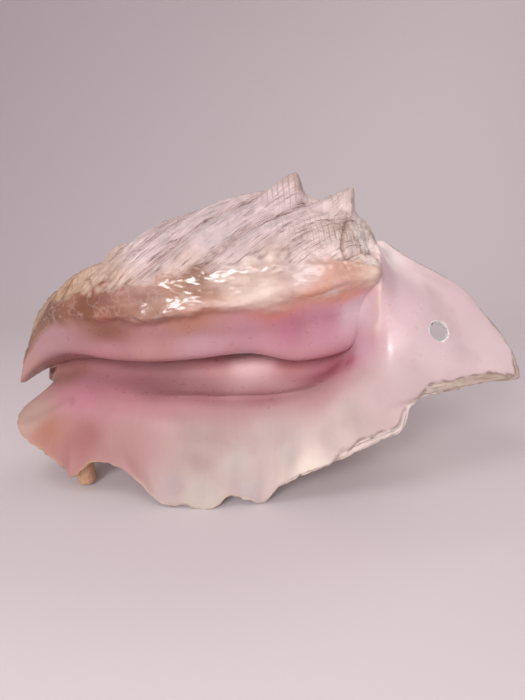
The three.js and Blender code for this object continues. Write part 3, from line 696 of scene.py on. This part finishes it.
def shellMaterial():
    # Conch shell: aragonite laid down by the animal. Outside it is chalky and worn, with growth lines;
    # over the body lies a brown glaze; the mouth is polished pink porcelain.
    mat = bpy.data.materials.new("conchShellGrown")
    mat.use_nodes = True
    tree = mat.node_tree
    tree.nodes.clear()
    look = {key: linear(value) if isinstance(value, str) else value for key, value in shellLook.items()}
    zone = addNode(tree, "ShaderNodeAttribute", {"attribute_name": "zone"})
    parts = addNode(tree, "ShaderNodeSeparateColor", links={"Color": zone.outputs["Color"]})
    porcelain, glaze, valley = parts.outputs
    cords = zone.outputs["Alpha"]
    tintNode = addNode(tree, "ShaderNodeAttribute", {"attribute_name": "tint"})
    tint, matte = tintNode.outputs["Color"], tintNode.outputs["Alpha"]
    growth = addNode(tree, "ShaderNodeUVMap", {"uv_map": "growth"}).outputs["UV"]
    place = addNode(tree, "ShaderNodeTexCoord").outputs["Object"]

    def noiseAt(scale, detail, vector, rough=0.55):
        if isinstance(scale, tuple):  # one scale for each direction
            mapping = addNode(tree, "ShaderNodeMapping", {"Scale": scale}, {"Vector": vector})
            vector, scale = mapping.outputs["Vector"], 1.0
        settings = {"Scale": scale, "Detail": detail, "Roughness": rough}
        return addNode(tree, "ShaderNodeTexNoise", settings, {"Vector": vector}).outputs["Fac"]

    def remap(value, low, high, toLow=0.0, toHigh=1.0):
        settings = {"From Min": low, "From Max": high, "To Min": toLow, "To Max": toHigh}
        return addNode(tree, "ShaderNodeMapRange", settings, {"Value": value}).outputs["Result"]

    def feed(node, slots, items):
        for slot, item in zip(slots, items):
            if isinstance(item, (int, float, tuple)):
                node.inputs[slot].default_value = item
            else:
                tree.links.new(item, node.inputs[slot])

    def maths(operation, a, b):
        node = addNode(tree, "ShaderNodeMath", {"operation": operation})
        feed(node, (0, 1), (a, b))
        return node.outputs[0]

    def times(a, b):
        return maths("MULTIPLY", a, b)

    def blend(share, a, b, kind="MIX"):
        node = addNode(tree, "ShaderNodeMix", {"data_type": "RGBA", "blend_type": kind})
        feed(node, (0, 6, 7), (share, a, b))
        return node.outputs[2]

    def thread(value, width):  # thin line wherever the noise crosses its middle
        return remap(maths("ABSOLUTE", maths("SUBTRACT", value, 0.5), 0.0), 0.0, width, 1.0, 0.0)

    def bump(depth, height, strength, under=None):
        links = {"Height": height, "Strength": strength}
        if under:
            links["Normal"] = under
        return addNode(tree, "ShaderNodeBump", {"Distance": depth}, links).outputs["Normal"]

    # growth lines: dark threads a few mm apart with closer ones between, along each former edge of the mouth
    coarse = noiseAt(look["coarseScale"], 3.0, growth, 0.45)
    close = noiseAt(look["closeScale"], 3.0, growth, 0.45)
    patch = noiseAt(look["patchScale"], 4.0, place)
    worn = noiseAt(look["wearScale"], 3.0, place)
    coarseLines = times(thread(coarse, look["coarseWidth"]), remap(patch, 0.4, 0.5))
    coarseLines = times(coarseLines, remap(valley, 0.1, 0.5, 0.6, 1.0))
    closeLines = times(thread(close, look["closeWidth"]), remap(worn, 0.4, 0.52))
    closeLines = times(closeLines, remap(valley, 0.12, 0.5, 0.15, 1.0))
    # spiral cords: 2.3 mm bands that cross the growth lines where the shoulder is fresh
    waves = {"bands_direction": "Y", "Scale": look["cordScale"], "Distortion": 1.2, "Detail": 2.0}
    band = addNode(tree, "ShaderNodeTexWave", waves, {"Vector": growth}).outputs["Fac"]
    cordLines = times(remap(band, 0.25, 0.0), times(cords, remap(patch, 0.4, 0.6, 0.1, 0.8)))
    lines = maths("MAXIMUM", times(closeLines, look["closeDark"]), times(cordLines, look["cordDark"]))
    lines = maths("MAXIMUM", coarseLines, lines)

    # chalk: mottled, with painted shade in the valleys between folds, in cracks and in the spire's seams, a
    # darker film at the glaze's edge and darker worn lip edges, and the lines over it
    mottle = noiseAt(look["mottleScale"], 5.0, place)
    chalk = blend(remap(mottle, 0.35, 0.65), blend(look["mottleDark"], tint, look["line"], "MULTIPLY"), tint)
    valleyShadeAndEdgeTint = blend(1.0, tint, look["valley"], "MULTIPLY")
    chalk = blend(remap(valley, 0.3, 1.0, 0.0, look["valleyShadeAndEdgeDark"]), chalk, valleyShadeAndEdgeTint)
    chalk = blend(times(lines, look["lineDark"]), chalk, look["line"])

    # glaze: amber film with deeper pools, hair-fine veins and milky skins
    cloud = noiseAt(look["cloudScale"], 4.0, place)
    skin = noiseAt(look["skinScale"], 3.0, place)
    poolTint = blend(1.0, tint, look["glazeDeep"], "MULTIPLY")
    amber = blend(remap(cloud, 0.38, 0.62, look["poolDark"], 0.0), tint, poolTint)
    veins = thread(noiseAt(look["veinScale"], 3.0, place), look["veinWidth"])
    amber = blend(times(veins, remap(cords, 0.0, 0.6, 0.11, 0.05)), amber, look["milk"])
    amber = blend(times(remap(skin, 0.48, 0.68, 0.0, look["skinMilk"]), cords), amber, look["milk"])

    # porcelain: faint streaks from mouth to edge, stains and rare pores
    streak = noiseAt(look["streakScale"], 4.0, growth)
    pinks = blend(remap(streak, 0.5, 0.72, 0.0, look["streakMilk"]), tint, look["milk"])
    stain = noiseAt(look["stainScale"], 3.0, place)
    pinks = blend(remap(stain, 0.5, 0.3, 0.0, look["stainDark"]), pinks, look["speck"])
    dots = addNode(tree, "ShaderNodeTexVoronoi", {"Scale": look["poreScale"]}, {"Vector": place})
    pores = times(remap(dots.outputs["Distance"], 0.055, 0.03), remap(patch, 0.6, 0.66))
    pinks = blend(times(pores, look["poreDark"]), pinks, look["speck"])

    colour = blend(porcelain, blend(glaze, chalk, amber), pinks)

    polish = maths("MAXIMUM", porcelain, glaze)
    rough = remap(polish, 0.0, 1.0, look["chalkRough"], look["polishRough"])
    rough = maths("ADD", rough, remap(glaze, 0.0, 1.0, 0.0, look["glazeRough"]))
    rough = maths("ADD", rough, remap(mottle, 0.3, 0.7, *look["mottleRough"]))
    rough = maths("ADD", rough, times(times(matte, porcelain), look["matteRough"]))

    # relief: chalk grain, growth lines cut into it, and the wet ripple of the glaze
    grain = noiseAt(look["grainScale"], 3.0, place)
    normal = bump(look["grainDepth"], grain, remap(polish, 0.0, 1.0, 0.45, 0.02))
    cuts = maths("SUBTRACT", close, lines)
    normal = bump(look["cutDepth"], cuts, remap(polish, 0.0, 1.0, 0.6, 0.0), normal)
    ripple = noiseAt(look["rippleScale"], 2.0, place)
    normal = bump(look["rippleDepth"], ripple, remap(glaze, 0.0, 1.0, 0.0, 0.75), normal)
    surface = {"IOR": look["bending"], "Subsurface Weight": look["letIn"],
               "Subsurface Scale": look["letInDepth"], "Subsurface Radius": look["letInColours"]}
    shader = addNode(tree, "ShaderNodeBsdfPrincipled", surface,
                     {"Base Color": colour, "Roughness": rough, "Normal": normal})
    addNode(tree, "ShaderNodeOutputMaterial", links={"Surface": shader.outputs["BSDF"]})
    return mat


def addLight(name, place, target, size, power, colour):
    data = bpy.data.lights.new(name, "AREA")
    data.shape = "RECTANGLE"
    data.size, data.size_y = size
    data.energy = power
    data.color = linear(colour)[:3]
    light = bpy.data.objects.new(name, data)
    light.location = place
    light.rotation_euler = (Vector(target) - Vector(place)).to_track_quat("-Z", "Y").to_euler()
    bpy.context.collection.objects.link(light)
    return light


studio = {
    "air": "#D9D4DE", "airStrength": 0.52,
    # paper sweep: half width, middle, height at the back and bend, in m
    "floor": "#D6CBCC", "floorRough": 0.8, "floorSize": 4.0, "floorMiddle": -3.2,
    "wallHeight": 3.0, "bend": 0.5,
    # lights: place, target and size in m, power in W, colour
    "lights": {
        "topSoftbox": ((-0.25, -0.3, 0.7), (0, 0, 0.05), (0.35, 0.3), 1.15, "#FFF9F6"),
        "frontFill": ((0.02, -0.7, 0.26), (0, 0, 0.05), (0.4, 0.28), 1.6, "#FBF5FC"),
        "windowGlint": ((-0.2, -0.64, 0.36), (-0.03, 0, 0.08), (0.14, 0.14), 1.7, "#FFFFFF"),
        "windowStrip": ((-0.2, -0.66, 0.25), (-0.03, 0, 0.08), (0.22, 0.035), 0.8, "#FFFFFF"),
        "rearFill": ((0.4, 0.7, 0.85), (0, 0, 0.06), (0.6, 0.4), 3.2, "#FFF8F4")
    },
    # camera: place in m, tilt in degrees, sensor and lens in mm
    "camera": {"place": (-0.00262, -0.25209, 0.112), "tilt": 76, "sensor": 36, "lens": 36 * 526 / 525}
}


def makeStudio():
    scene = bpy.context.scene
    scene.view_settings.view_transform = "Standard"
    world = bpy.data.worlds.new("studioAir")
    scene.world = world
    world.use_nodes = True
    back = world.node_tree.nodes["Background"]
    back.inputs["Color"].default_value = linear(studio["air"])
    back.inputs["Strength"].default_value = studio["airStrength"]
    for name, settings in studio["lights"].items():
        addLight(name, *settings)

    bm = bmesh.new()
    bmesh.ops.create_grid(bm, x_segments=1, y_segments=1, size=studio["floorSize"])
    bmesh.ops.translate(bm, verts=bm.verts, vec=(0, studio["floorMiddle"], 0))
    rear = [edge for edge in bm.edges if all(vert.co.y > 0 for vert in edge.verts)]
    wall = bmesh.ops.extrude_edge_only(bm, edges=rear)["geom"]
    top = [item for item in wall if isinstance(item, bmesh.types.BMVert)]
    bmesh.ops.translate(bm, verts=top, vec=(0, 0, studio["wallHeight"]))
    bmesh.ops.bevel(bm, geom=rear, offset=studio["bend"], affect="EDGES", segments=16, profile=0.5,
                    material=-1)
    bmesh.ops.recalc_face_normals(bm, faces=bm.faces)
    floor = addObject("studioFloor", bm)
    paint = bpy.data.materials.new("matteFloorPaint")
    paint.use_nodes = True
    coat = paint.node_tree.nodes["Principled BSDF"]
    coat.inputs["Base Color"].default_value = linear(studio["floor"])
    coat.inputs["Roughness"].default_value = studio["floorRough"]
    floor.data.materials.append(paint)

    view = studio["camera"]
    data = bpy.data.cameras.new("phoneView")
    data.sensor_fit = "HORIZONTAL"
    data.sensor_width = view["sensor"]
    data.lens = view["lens"]
    data.clip_start = 0.01
    camera = bpy.data.objects.new("phoneView", data)
    camera.location = view["place"]
    camera.rotation_euler = (math.radians(view["tilt"]), 0, 0)
    bpy.context.collection.objects.link(camera)
    scene.camera = camera


makeStudio()
say("studio ready")
material = shellMaterial()
pieces = []
for make in (makeBody, makeLip, makeSpire, makeNub):
    piece = make()
    piece.data.materials.append(material)
    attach(piece, "root")
    pieces.append(piece)
    say(f"{piece.name} has {len(piece.data.polygons)} faces")
for piece in pieces:
    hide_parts("conch_shell")
